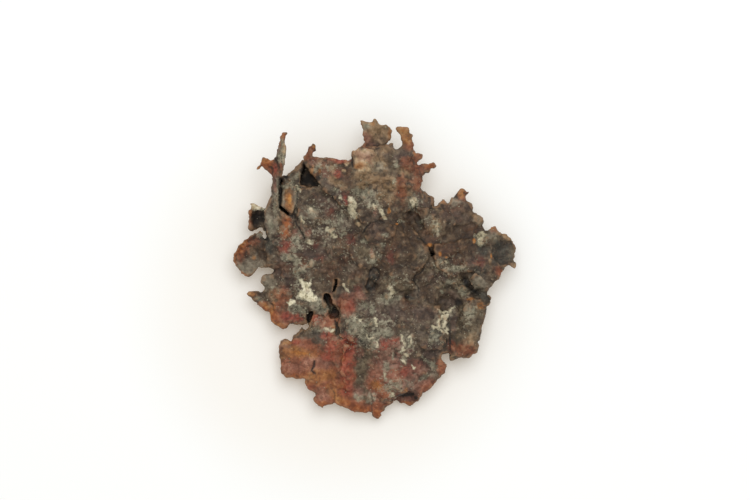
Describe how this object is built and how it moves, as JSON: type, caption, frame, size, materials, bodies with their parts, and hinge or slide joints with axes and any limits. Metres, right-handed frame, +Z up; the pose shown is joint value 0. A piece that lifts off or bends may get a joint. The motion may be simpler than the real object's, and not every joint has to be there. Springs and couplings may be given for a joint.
{
  "type": "native copper nugget",
  "caption": "Flat nugget of tarnished native copper: a crumpled plate of lobed leaves with a curled edge, standing spires and open cracks, lying on its underside.",
  "frame": {"origin": "middle of the bounding box's bottom, on the surface that the nugget lies on", "axes": "+Z up, out of the broad upper face; +Y along the longest extent, towards the edge with the long thin spikes; +X towards the rounded knob"},
  "size_m": [0.0568, 0.0604, 0.0114],
  "materials": {
    "tarnished_copper": "dull grey-brown tarnish with brick-red cuprite, bare orange copper on the edges, and cream and pale green crusts"
  },
  "bodies": {
    "root": {"nugget": "tarnished_copper"}
  },
  "joints": []
}
